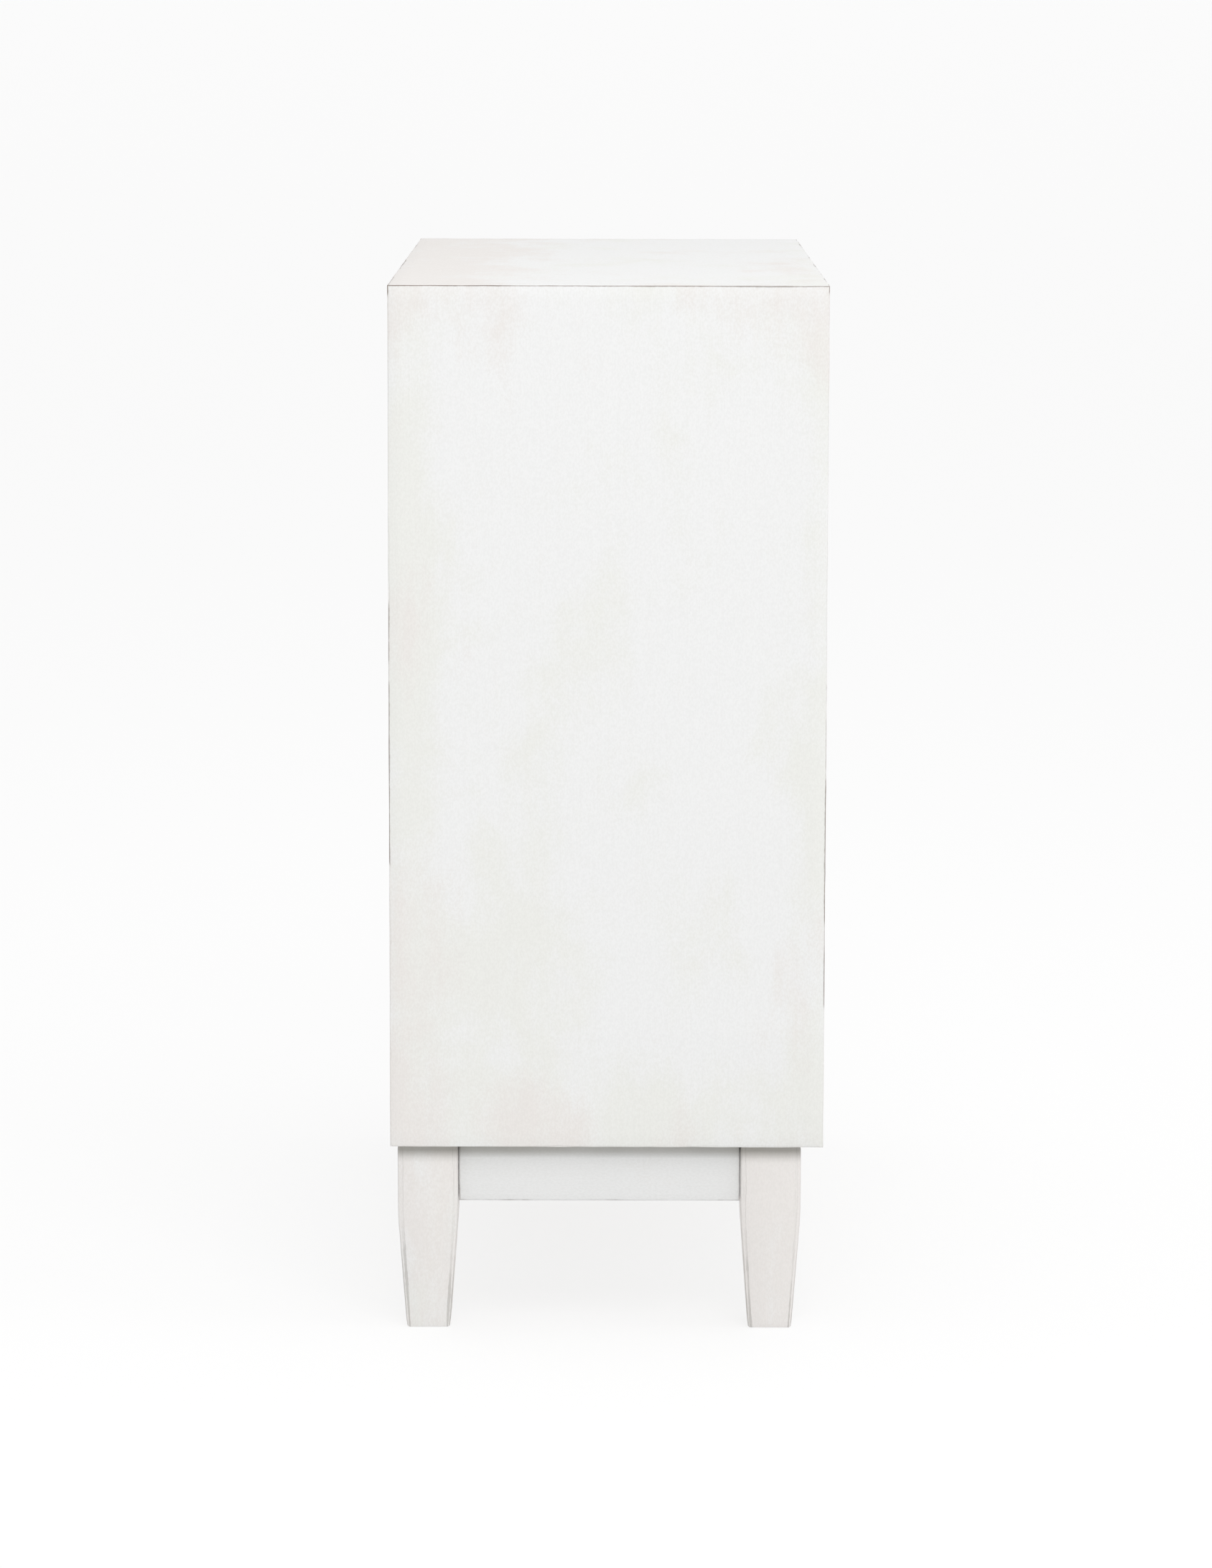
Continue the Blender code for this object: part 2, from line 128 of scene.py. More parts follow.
COOL_WHITE = (0.818, 0.821, 0.818)
CREAM = (0.788, 0.791, 0.752)
PINK_BEIGE = (0.784, 0.753, 0.728)
GLAZE_BROWN = (0.140, 0.075, 0.052)
# The grey of the glaze and the fine grain, also used for the painted shade under the case.
GLAZE_AND_SHADE_GREY = (0.200, 0.190, 0.160)
BARE_WOOD_LIGHT = (0.560, 0.400, 0.235)
BARE_WOOD_DARK = (0.400, 0.255, 0.130)
END_GRAIN = (0.250, 0.150, 0.075)


class Signal:
    """One output of a finish's nodes. Sums and products of signals and numbers add the nodes for them."""

    def __init__(self, finish, socket):
        self.finish = finish
        self.socket = socket

    def math(self, operation, *terms):
        sockets = dict(enumerate(terms))
        return self.finish.node("ShaderNodeMath", {"operation": operation}, sockets)

    def __add__(self, other):
        return self.math("ADD", self, other)

    __radd__ = __add__

    def __sub__(self, other):
        return self.math("SUBTRACT", self, other)

    def __rsub__(self, other):
        return self.math("SUBTRACT", other, self)

    def __mul__(self, other):
        return self.math("MULTIPLY", self, other)

    def __abs__(self):
        return self.math("ABSOLUTE", self)

    def least(self, other):
        return self.math("MINIMUM", self, other)

    def most(self, other):
        return self.math("MAXIMUM", self, other)

    def ramp(self, start, end):
        """Rises smoothly from 0 at start to 1 at end. It falls if start is above end."""
        settings = {"interpolation_type": "SMOOTHSTEP"}
        low, high = min(start, end), max(start, end)
        sockets = {"Value": self, "From Min": low, "From Max": high}
        if start > end:
            sockets |= {"To Min": 1.0, "To Max": 0.0}
        return self.finish.node("ShaderNodeMapRange", settings, sockets)

    def axes(self):
        """The three components of a vector."""
        return [self.finish.node("ShaderNodeSeparateXYZ", {}, {0: self}, output=axis) for axis in range(3)]


class Finish:
    """A material made node by node around a Principled shader."""

    def __init__(self, name, **fixed):
        self.material = bpy.data.materials.new(name)
        self.material.use_nodes = True
        self.tree = self.material.node_tree
        self.shader = self.tree.nodes["Principled BSDF"]
        for label, value in fixed.items():
            self.shader.inputs[label.replace("_", " ")].default_value = value

    def node(self, kind, settings, sockets, output=0):
        """Adds a node, sets its settings first and then its sockets, and returns one of its outputs."""
        made = self.tree.nodes.new(kind)
        for label, value in settings.items():
            setattr(made, label, value)
        for label, value in sockets.items():
            self.feed(made.inputs[label], value)
        return Signal(self, made.outputs[output])

    def feed(self, socket, value):
        if isinstance(value, Signal):
            self.tree.links.new(value.socket, socket)
        elif isinstance(value, tuple) and socket.type == "RGBA":
            socket.default_value = (*value, 1.0)
        else:
            socket.default_value = value

    def attribute(self, name, output="Vector"):
        return self.node("ShaderNodeAttribute", {"attribute_name": name}, {}, output)

    def noise(self, place, stretch, seed, detail=2.0, roughness=0.5, distortion=0.0):
        """Soft noise from about 0 to 1. stretch gives the lumps per metre along each axis of the board."""
        scaled = self.node("ShaderNodeVectorMath", {"operation": "MULTIPLY"}, {0: place, 1: stretch})
        sockets = {"Vector": scaled, "W": seed, "Scale": 1.0, "Detail": detail}
        sockets |= {"Roughness": roughness, "Distortion": distortion}
        return self.node("ShaderNodeTexNoise", {"noise_dimensions": "4D"}, sockets)

    def mix(self, amount, low, high):
        """A colour that goes from low to high as amount goes from 0 to 1."""
        settings = {"data_type": "RGBA"}
        return self.node("ShaderNodeMix", settings, {0: amount, 6: low, 7: high}, output=2)

    def bump(self, height, distance):
        """Raises the surface by distance, in metres, where height is 1."""
        sockets = {"Height": height, "Distance": distance, "Strength": 1.0}
        return self.node("ShaderNodeBump", {}, sockets)

    def set(self, **inputs):
        for label, value in inputs.items():
            self.feed(self.shader.inputs[label.replace("_", " ")], value)


def wood_figure(finish, place, reach, seed):
    """The colour and height of bare wood: long figure, fine pores, and dark ends across the grain."""
    along = place.axes()[0]
    figure = finish.noise(place, (2.2, 46.0, 46.0), seed, detail=3.0, distortion=0.35)
    pores = finish.noise(place, (22.0, 900.0, 900.0), seed + 3.0, detail=1.0)
    rings = finish.node("ShaderNodeMath", {"operation": "SINE"}, {0: figure * 38.0}) * 0.5 + 0.5
    shade = rings * 0.34 + pores * 0.42 + figure * 0.38
    colour = finish.mix(shade.ramp(0.25, 1.00), BARE_WOOD_LIGHT, BARE_WOOD_DARK)
    to_end = reach.axes()[0] - abs(along)
    end = to_end.ramp(0.0006, 0.0001) * 0.6
    return finish.mix(end, colour, END_GRAIN), shade


paint = Finish("antique_white_paint", Specular_IOR_Level=0.35)
place = paint.attribute("board")
reach = paint.attribute("reach")
seed = paint.attribute("tone", "Fac")
bare = paint.attribute("bare", "Fac")
cream_here, pink_here, glaze_here = paint.attribute("age").axes()
room = [limit - abs(value) for limit, value in zip(reach.axes(), place.axes())]
edge = room[0].least(room[1]).most(room[0].most(room[1]).least(room[2]))

# The patterns, from the broadest patches to the finest grain.
clouds = paint.noise(place, (9.0, 13.0, 13.0), seed, detail=5.0, roughness=0.62, distortion=0.4)
drifts = paint.noise(place, (8.0, 16.0, 16.0), seed + 7.0, detail=4.0, roughness=0.6)
streaks = paint.noise(place, (10.0, 120.0, 120.0), seed + 11.0, detail=3.0)
bristles = paint.noise(place, (14.0, 620.0, 620.0), seed + 13.0, detail=1.0)
breaks = paint.noise(place, (16.0, 16.0, 16.0), seed + 17.0, detail=3.0, roughness=0.65)
crumbs = paint.noise(place, (260.0, 260.0, 260.0), seed + 19.0, detail=2.0)
grit = paint.noise(place, (420.0, 700.0, 700.0), seed + 23.0, detail=1.0)

# Cream and pink patches over the cool white, then brush marks and a fine grey grain.
near_edge = edge.ramp(0.050, 0.006)
weave = streaks * 0.10 + grit * 0.12
creamy = (clouds * 0.95 + weave + near_edge * 0.04 + cream_here * 0.19).ramp(0.56, 0.80)
pinkish = (drifts * 0.90 + weave + near_edge * 0.06 + pink_here * 0.26).ramp(0.60, 0.84)
colour = paint.mix(creamy * 0.80, COOL_WHITE, CREAM)
colour = paint.mix(pinkish * 0.9, colour, PINK_BEIGE)
colour = paint.mix((bristles * 0.6 + streaks * 0.4).ramp(0.42, 0.78) * 0.08, colour, PINK_BEIGE)
colour = paint.mix(grit.ramp(0.30, 0.70) * 0.05, colour, GLAZE_AND_SHADE_GREY)

# Glaze: grey where an arris or chamfer line is rubbed, and brown right in a joint. Grey painted shade darkens
# the legs and aprons just under the case.
chamfer = paint.attribute("chamfer", "Fac")
painted_shade = paint.attribute("painted_shade", "Fac")
from_line = abs(edge - chamfer)
glazed = (breaks + glaze_here).ramp(0.78, 1.02)
rubbed = (from_line + (crumbs - 0.5) * 0.0010 + (0.5 - breaks) * 0.0040).ramp(0.0013, 0.0004)
hairline = (edge + (crumbs - 0.5) * 0.0005).ramp(0.0012, 0.0005)
colour = paint.mix(rubbed * glazed * 0.36, colour, GLAZE_AND_SHADE_GREY)
colour = paint.mix(hairline * glazed * 0.66, colour, GLAZE_BROWN)
colour = paint.mix(painted_shade * (0.55 + breaks * 0.35), colour, GLAZE_AND_SHADE_GREY)

wood_colour, wood_height = wood_figure(paint, place, reach, seed)
unpainted = (bare + (streaks - 0.5) * 0.5).ramp(0.42, 0.58)
paint.set(
    Base_Color=paint.mix(unpainted, colour, wood_colour),
    Roughness=0.52 + bristles * 0.10 + unpainted * 0.08,
    Normal=paint.bump(bristles * 0.5 + streaks * 0.8 + crumbs * 0.15 + rubbed * -1.2, 0.00022),
)

bare_wood = Finish("bare_wood", Specular_IOR_Level=0.30)
place = bare_wood.attribute("board")
wood_colour, wood_height = wood_figure(
    bare_wood, place, bare_wood.attribute("reach"), bare_wood.attribute("tone", "Fac")
)
bare_wood.set(
    Base_Color=wood_colour,
    Roughness=0.58 + wood_height * 0.14,
    Normal=bare_wood.bump(wood_height, 0.00018),
)

# ---------------------------------------------------------------- case boards
# Four solid boards, mitred together at the corners so that the joint shows only as a fine line.
# Each is grooved for the shelves or dividers, rabbeted for the back, and rubbed soft at its edges.

FIT = 0.0003
HAIR = 0.0001
GROOVE_STOP = 0.012
CASE_EASE = 0.0006
CASE_RUB = 0.0007
FINE_CUTS = 0.012


def saw_board(name, low, high):
    """Saws a square-edged board between two corners, and leaves it open in edit mode with nothing picked."""
    bpy.ops.object.select_all(action="DESELECT")
    bpy.ops.mesh.primitive_cube_add(size=1.0, location=(low + high) / 2, scale=high - low)
    bpy.ops.object.transform_apply(location=True, rotation=True, scale=True)
    board = bpy.context.object
    board.name = board.data.name = name
    bpy.ops.object.mode_set(mode="EDIT")
    bpy.ops.mesh.select_all(action="DESELECT")
    return board


def pick(board, kind, wanted):
    """Picks the edges or faces of an open board whose middle and direction pass a test."""
    bpy.ops.mesh.select_mode(type=kind)
    bpy.ops.mesh.select_all(action="DESELECT")
    shape = bmesh.from_edit_mesh(board.data)
    shape.normal_update()
    for item in shape.edges if kind == "EDGE" else shape.faces:
        middle = sum((vert.co for vert in item.verts), Vector()) / len(item.verts)
        way = (item.verts[1].co - item.verts[0].co).normalized() if kind == "EDGE" else item.normal
        item.select_set(bool(wanted(middle, way)))
    bmesh.update_edit_mesh(board.data)


def saw_through(point, off):
    """Saws the open piece along a plane, and takes away what lies on the off side."""
    bpy.ops.mesh.select_all(action="SELECT")
    bpy.ops.mesh.bisect(plane_co=point, plane_no=off, use_fill=True, clear_outer=True)


def ease(board, width, segments=2, wanted=lambda middle, way: True):
    """Rounds over the picked arrises of an open board, or all of them."""
    pick(board, "EDGE", wanted)
    bpy.ops.mesh.bevel(offset=width, segments=segments, affect="EDGES", clamp_overlap=True)


def divide(board, axis, spacing=FINE_CUTS):
    """Adds cross lines to an open board along an axis, so that its arrises can wear unevenly."""
    pick(board, "EDGE", lambda middle, way: abs(way[axis]) > 0.98)
    shape = bmesh.from_edit_mesh(board.data)
    longest = max(edge.calc_length() for edge in shape.edges if edge.select)
    bpy.ops.mesh.subdivide(number_cuts=max(1, round(longest / spacing) - 1))


def take_up(board):
    """Opens a board again for cutting."""
    bpy.context.view_layer.objects.active = board
    bpy.ops.object.mode_set(mode="EDIT")


def put_down(board):
    """Takes a board out of edit mode."""
    bpy.ops.mesh.select_all(action="DESELECT")
    bpy.ops.object.mode_set(mode="OBJECT")
    return board


def apply_modifier(board, kind, **settings):
    modifier = board.modifiers.new(kind.lower(), kind)
    for label, value in settings.items():
        setattr(modifier, label, value)
    bpy.context.view_layer.objects.active = board
    bpy.ops.object.modifier_apply(modifier=modifier.name)


def arris_room(point, low, high):
    """How far a point on a board lies from the nearest of its arrises."""
    half, offset = (high - low) / 2, point - (low + high) / 2
    return sorted(half[axis] - abs(offset[axis]) for axis in range(3))[1]


sanding = bpy.data.textures.new("sanding", "CLOUDS")
sanding.noise_scale = 0.018
sanding.noise_depth = 2


def rub_edges(board, low, high, depth, width=0.004, true_place=Vector):
    """Wears a board's arrises inwards by up to a depth, as sanding by hand does."""
    group = board.vertex_groups.new(name="arris")
    for vert in board.data.vertices:
        near = 1 - arris_room(true_place(vert.co), low, high) / width
        if near > 0:
            group.add([vert.index], min(1.0, near), "REPLACE")
    settings = {"texture": sanding, "texture_coords": "LOCAL", "vertex_group": "arris"}
    apply_modifier(board, "DISPLACE", strength=depth, mid_level=1.0, **settings)
    board.vertex_groups.clear()


def combine(board, operation, other):
    """Joins another piece to a board, or cuts the board by it, and uses the other piece up."""
    settings = {"operation": operation, "object": other, "solver": "EXACT", "use_self": True}
    apply_modifier(board, "BOOLEAN", **settings)
    bpy.data.meshes.remove(other.data)


def gather(name, pieces):
    """Joins several loose pieces into one object."""
    bpy.ops.object.select_all(action="DESELECT")
    for piece in pieces:
        piece.select_set(True)
    bpy.context.view_layer.objects.active = pieces[0]
    bpy.ops.object.join()
    pieces[0].name = pieces[0].data.name = name
    return pieces[0]


def cut_out(board, *recesses):
    """Cuts square-edged recesses out of a board. Each is given by two corners."""
    wastes = [put_down(saw_board("waste", low, high)) for low, high in recesses]
    combine(board, "DIFFERENCE", gather("waste", wastes))


def evenly_aged(point):
    """How creamy and how pink the paint is at a point, and how much glaze is left along the arrises."""
    return (0.0, 0.0, 0.42)


def mark_board(
    board,
    low,
    high,
    grain,
    tone,
    bare_at=lambda point: 0.0,
    age_at=evenly_aged,
    painted_shade_at=lambda point: 0.0,
    true_place=Vector,
    chamfer=0.0,
):
    """Stores what the finishes need at each point: its place in the board, grain first, the board's half
    size, a number that makes each board's pattern its own, its age, how bare it is, how much painted
    shade it has, and how wide the board's chamfers are."""
    order = [grain] + [axis for axis in range(3) if axis != grain]
    centre, half = (low + high) / 2, (high - low) / 2
    points = [vert.co.copy() for vert in board.data.vertices]
    offsets = [true_place(point) - centre for point in points]
    facts = {
        "board": [offset[axis] for offset in offsets for axis in order],
        "reach": [half[axis] for offset in offsets for axis in order],
        "tone": [tone for point in points],
        "age": [value for point in points for value in age_at(point)],
        "bare": [bare_at(point) for point in points],
        "painted_shade": [painted_shade_at(point) for point in points],
        "chamfer": [chamfer for point in points],
    }
    for name, values in facts.items():
        kind, label = ("FLOAT_VECTOR", "vector") if len(values) > len(points) else ("FLOAT", "value")
        board.data.attributes.new(name, kind, "POINT").data.foreach_set(label, values)


def dress(piece, finish, body, nodes=(), smooth=30.0):
    """Gives a finished piece its finish and soft shading, and hangs it on its body in the frame."""
    piece.data.materials.clear()
    piece.data.materials.append(finish.material)
    bpy.ops.object.select_all(action="DESELECT")
    piece.select_set(True)
    bpy.context.view_layer.objects.active = piece
    bpy.ops.object.shade_smooth_by_angle(angle=math.radians(smooth))
    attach(piece, body)
    if nodes:
        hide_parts(*nodes)


side_low, side_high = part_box("side_panel_left")
top_low, top_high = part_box("top_panel")
bottom_low, bottom_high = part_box("bottom_panel")
back_low, back_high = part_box("back_panel")
face_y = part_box("shelf_1")[0].y
shelves = ["shelf_1", "shelf_2", "shelf_3"]
dividers = ["divider_left", "divider_right"]
fit = Vector((FIT, FIT, FIT))


def bare_behind(point):
    """The brush goes a little way in past the drawer fronts, and behind that the wood is bare."""
    return min(1.0, max(0.0, (point.y - face_y - 0.008) / 0.016))


# Each stain's middle and radii along Y and Z, and how creamy and how pink it is.
SIDE_STAINS = (
    ((0.026, 0.566), (0.064, 0.085), 0.9, 0.0),
    ((0.085, 0.300), (0.095, 0.150), 1.0, 0.0),
    ((-0.020, 0.185), (0.200, 0.060), 0.7, -0.2),
    ((0.160, 0.560), (0.034, 0.320), 0.8, 0.0),
    ((-0.172, 0.400), (0.030, 0.260), 0.7, -0.3),
    ((-0.172, 0.700), (0.020, 0.150), 0.4, 0.0),
    ((0.174, 0.300), (0.022, 0.160), 0.0, 0.6),
    ((0.060, 0.180), (0.060, 0.050), -0.2, 1.3),
    ((0.150, 0.200), (0.060, 0.080), 0.8, 0.4),
    ((-0.030, 0.560), (0.180, 0.300), -0.15, -0.7),
    ((-0.128, 0.180), (0.045, 0.045), 0.3, 0.1),
    ((0.160, 0.850), (0.040, 0.040), 0.0, 0.5),
    ((-0.168, 0.830), (0.022, 0.060), 0.0, 0.6),
)


BACK_EDGE_GLAZED = (0.39, 0.60)
FRONT_EDGE_GLAZED = (0.27, 0.545)
TOP_JOINT = 0.004
CORNER_TIP = 0.0015


def side_age(point):
    """The left side has a few broad soft stains. Its glaze is left at the top and along part of each edge."""
    cream = pink = 0.0
    for centre, radii, creaminess, pinkness in SIDE_STAINS:
        away = math.hypot((point.y - centre[0]) / radii[0], (point.z - centre[1]) / radii[1])
        inside = max(0.0, 1.0 - away * away)
        cream, pink = cream + creaminess * inside, pink + pinkness * inside
    start, end = BACK_EDGE_GLAZED if point.y > 0 else FRONT_EDGE_GLAZED
    glaze = 0.47 if start < point.z < end else 0.14
    if point.z > side_high.z - TOP_JOINT:
        glaze = 1.0 if abs(point.y) < side_high.y - CORNER_TIP else 0.62
    return (cream, pink, glaze)


def top_age(point):
    """The top is pinker towards the back, and its glaze is left along both end joints."""
    pink = max(0.0, min(1.0, (point.y - 0.02) / 0.12))
    return (-0.1, pink, 1.0 if abs(point.x) > 0.38 else 0.35)


case_ages = {"side_panel_left": side_age, "top_panel": top_age}
case_boards = {
    "left_side_board": "side_panel_left",
    "right_side_board": "side_panel_right",
    "top_board": "top_panel",
    "bottom_board": "bottom_panel",
}
for number, (name, node) in enumerate(case_boards.items()):
    low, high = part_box(node)
    upright = name.endswith("side_board")
    thin, long = (0, 2) if upright else (2, 0)
    outer = low if node in ("side_panel_left", "bottom_panel") else high
    board = saw_board(name, low, high)
    ease(board, CASE_EASE)
    divide(board, 1)
    divide(board, long)
    put_down(board)
    rub_edges(board, low, high, CASE_RUB)
    take_up(board)
    for end, corner in ((-1, low), (1, high)):
        point, off = corner.copy(), Vector()
        point[thin] = outer[thin]
        off[long], off[thin] = end, 1 if outer is low else -1
        saw_through(point, off)
    put_down(board)
    recesses = [(back_low - fit, back_high + Vector((FIT, 0.01, FIT)))]
    for member in shelves if upright else dividers:
        member_low, member_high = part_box(member)
        recesses.append((member_low + Vector((-FIT, GROOVE_STOP, -FIT)), member_high + fit))
    cut_out(board, *recesses)

    def bare_inside(point, thin=thin, inner=high if outer is low else low):
        return bare_behind(point) if abs(point[thin] - inner[thin]) < 0.006 and point.y < back_low.y else 0.0

    age_at = case_ages.get(node, evenly_aged)
    mark_board(board, low, high, long, 3.1 + 2.7 * number, bare_at=bare_inside, age_at=age_at)
    dress(board, paint, "case", [node])

# ---------------------------------------------------------------- shelves and dividers
# Three shelves run across and two dividers run up, in the same solid wood. Each is slotted halfway, so
# that they drop together like an egg crate, and notched in front to close the ends of the grooves.

GRID_EASE = 0.0010
GRID_RUB = 0.0006
OVERRUN = 0.001
grid_middle = (face_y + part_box("shelf_1")[1].y + FIT) / 2

for number, node in enumerate(shelves + dividers):
    low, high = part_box(node)
    is_shelf = node in shelves
    long, thin = (0, 2) if is_shelf else (2, 0)
    board = saw_board(node.replace("shelf", "shelf_board").replace("divider", "divider_board"), low, high)
    ease(board, GRID_EASE, wanted=lambda middle, way: middle.y < low.y + HAIR and abs(way[long]) > 0.9)
    divide(board, long)
    divide(board, 1, 0.010)
    put_down(board)
    rub_edges(board, low, high, GRID_RUB)
    recesses = []
    for other in dividers if is_shelf else shelves:
        slot_low, slot_high = (corner.copy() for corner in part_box(other))
        slot_low[thin], slot_high[thin] = low[thin] - OVERRUN, high[thin] + OVERRUN
        slot_low[long], slot_high[long] = slot_low[long] - FIT, slot_high[long] + FIT
        if is_shelf:
            slot_low.y, slot_high.y = grid_middle, high.y + OVERRUN
        else:
            slot_low.y, slot_high.y = low.y - OVERRUN, grid_middle + FIT
        recesses.append((slot_low, slot_high))
    inner_low, inner_high = (side_high.x, -side_high.x) if is_shelf else (bottom_high.z, top_low.z)
    for notch in range(2):
        notch_low = low - Vector((OVERRUN, OVERRUN, OVERRUN))
        notch_high = high + Vector((OVERRUN, 0, OVERRUN))
        notch_high.y = low.y + GROOVE_STOP
        if notch == 0:
            notch_high[long] = inner_low + FIT
        else:
            notch_low[long] = inner_high - FIT
        recesses.append((notch_low, notch_high))
    cut_out(board, *recesses)
    mark_board(board, low, high, long, 21.3 + 1.9 * number, bare_at=bare_behind)
    dress(board, paint, "case", [node])

# ---------------------------------------------------------------- back
# One thin board, brushed with a single thin coat and let into the rabbet round the back of the case.
# Small round-headed nails hold it all the way round.

NAIL_SPACING = 0.098
NAIL_INSET = 0.006
NAIL_RADIUS = 0.0022
NAIL_HEIGHT = 0.0010

iron = Finish("dull_iron", Metallic=0.85)
rust = iron.noise(iron.node("ShaderNodeTexCoord", {}, {}, output="Object"), (420.0, 420.0, 420.0), 2.0)
iron.set(
    Base_Color=iron.mix(rust.ramp(0.45, 0.70), (0.160, 0.150, 0.140), (0.120, 0.065, 0.040)),
    Roughness=0.45 + rust * 0.3,
    Normal=iron.bump(rust, 0.00008),
)

board = saw_board("back_board", back_low, back_high)
ease(board, 0.0005)
divide(board, 0, 0.05)
divide(board, 2, 0.05)
put_down(board)
mark_board(board, back_low, back_high, 2, 37.9, bare_at=lambda point: 0.34)
dress(board, paint, "case", ["back_panel"])


def turn_disc(name, centre, radius, depth, sides, ease_by):
    """Turns a small disc whose axis runs along Y, with its outer rim eased, and leaves it in object mode."""
    bpy.ops.object.select_all(action="DESELECT")
    turned = (math.radians(90.0), 0.0, 0.0)
    bpy.ops.mesh.primitive_cylinder_add(
        vertices=sides, radius=radius, depth=depth, location=centre, rotation=turned
    )
    bpy.ops.object.transform_apply(location=True, rotation=True, scale=True)
    disc = bpy.context.object
    disc.name = disc.data.name = name
    bpy.ops.object.mode_set(mode="EDIT")
    ease(disc, ease_by, wanted=lambda middle, way: abs(way.y) < 0.1)
    return put_down(disc)


nails = []
for axis, other in ((0, 2), (2, 0)):
    span = back_high[axis] - back_low[axis] - 2 * NAIL_INSET
    count = round(span / NAIL_SPACING)
    for step in range(count + (axis == 0)):
        for edge_corner, inwards in ((back_low, 1), (back_high, -1)):
            spot = back_low.copy()
            spot[axis] = back_low[axis] + NAIL_INSET + span * (step + (axis == 2) * 0.5) / count
            spot[other] = edge_corner[other] + inwards * NAIL_INSET
            spot.y = back_high.y
            nails.append(turn_disc("nail", spot, NAIL_RADIUS, NAIL_HEIGHT, 12, 0.0003))
dress(gather("back_nails", nails), iron, "case")

# ---------------------------------------------------------------- legs
# Square posts sawn to a taper on all four sides below the aprons, with a soft turn where the taper
# starts. Their long arrises are chamfered by hand and rubbed, and two faces are mortised for the aprons.

LEG_FOOT = 0.036
LEG_CURVE = 0.022
LEG_CURVE_STEPS = 5
LEG_CHAMFER = 0.0036
LEG_RUB = 0.0009
LEG_RUB_WIDTH = 0.0055
# How far below the case its painted shade reaches on the legs and aprons.
PAINTED_SHADE_DEPTH = 0.016
TENON_LENGTH = 0.020
TENON_SHOULDER = 0.005
TENON_HALF = 0.005

apron_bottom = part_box("apron_left")[0].z
leg_top_half = (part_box("leg_back_left")[1].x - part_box("leg_back_left")[0].x) / 2
leg_slope = (leg_top_half - LEG_FOOT / 2) / (apron_bottom - LEG_CURVE / 2)
past_ends = Vector((0, 0, 0.05))


def leg_half(height):
    """Half a leg's width at a height above the floor."""
    fall = apron_bottom - height
    if fall <= 0:
        return leg_top_half
    if fall < LEG_CURVE:
        return leg_top_half - leg_slope * fall * fall / (2 * LEG_CURVE)
    return leg_top_half - leg_slope * (fall - LEG_CURVE / 2)


def painted_shade_under_case(point):
    """Painted shade in the corner under the case: full just under it, and fading out a little way below it.
    """
    return min(1.0, max(0.0, 1.45 * (1.0 - (side_low.z - point.z) / PAINTED_SHADE_DEPTH)) ** 2)


for number, corner in enumerate(("back_left", "front_left", "back_right", "front_right")):
    node = f"leg_{corner}"
    low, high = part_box(node)
    axis_x, axis_y = (low.x + high.x) / 2, (low.y + high.y) / 2
    leg = saw_board(f"{corner}_leg", Vector((low.x, low.y, apron_bottom)), high)
    height = apron_bottom
    curve = [apron_bottom - LEG_CURVE * (step + 1) / LEG_CURVE_STEPS for step in range(LEG_CURVE_STEPS)]
    for next_height in curve + [low.z]:
        pick(leg, "FACE", lambda middle, way: way.z < -0.9 and middle.z < height + 0.001)
        bpy.ops.mesh.extrude_region_move(TRANSFORM_OT_translate={"value": (0, 0, next_height - height)})
        shrink = leg_half(next_height) / leg_half(height)
        about = (axis_x, axis_y, next_height)
        bpy.ops.transform.resize(value=(shrink, shrink, 1.0), center_override=about)
        height = next_height
    ease(leg, LEG_CHAMFER, wanted=lambda middle, way: abs(way.z) > 0.9)
    ease(leg, 0.0012, wanted=lambda middle, way: middle.z < low.z + HAIR)
    divide(leg, 2, 0.006)
    put_down(leg)

    def straightened(point, axis_x=axis_x, axis_y=axis_y):
        """Where a point of the tapered leg would be on the square post that it was cut from."""
        widen = leg_top_half / leg_half(point.z)
        return Vector((axis_x + (point.x - axis_x) * widen, axis_y + (point.y - axis_y) * widen, point.z))

    def leg_age(point, height=high.z):
        """Legs are pinker than the case, and more glaze is left along their chamfers low down."""
        return (-0.1, 0.85, 0.12 + 0.48 * (1 - point.z / height))

    rub_edges(leg, low, high, LEG_RUB, width=LEG_RUB_WIDTH, true_place=straightened)
    mortises = []
    for apron in ("apron_left" if "left" in corner else "apron_right", f"apron_{corner.split('_')[0]}"):
        tenon_low, tenon_high = (corner_point.copy() for corner_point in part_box(apron))
        thick = 0 if apron in ("apron_left", "apron_right") else 1
        middle = (tenon_low[thick] + tenon_high[thick]) / 2
        tenon_low[thick], tenon_high[thick] = middle - TENON_HALF, middle + TENON_HALF
        tenon_low.z, tenon_high.z = tenon_low.z + TENON_SHOULDER, tenon_high.z - TENON_SHOULDER
        mortises.append((tenon_low - fit, tenon_high + fit))
    cut_out(leg, *mortises)
    # Each leg gets painted shade at its top, just under the case.
    mark_board(
        leg,
        low - past_ends,
        high + past_ends,
        2,
        51.7 + 3.3 * number,
        age_at=leg_age,
        painted_shade_at=painted_shade_under_case,
        true_place=straightened,
        chamfer=LEG_CHAMFER,
    )
    dress(leg, paint, "case", [node])

# ---------------------------------------------------------------- aprons and cross rail
# Four rails join the legs, each with a tenon at both ends, and stand back from the legs' faces. A fifth
# rail crosses between the long ones under the middle of the case.

APRON_AGE = (-0.5, -0.2, 0.30)
# Painted shade laid over each whole apron, as it stands back in the shade of the case.
APRON_PAINTED_SHADE = 0.11

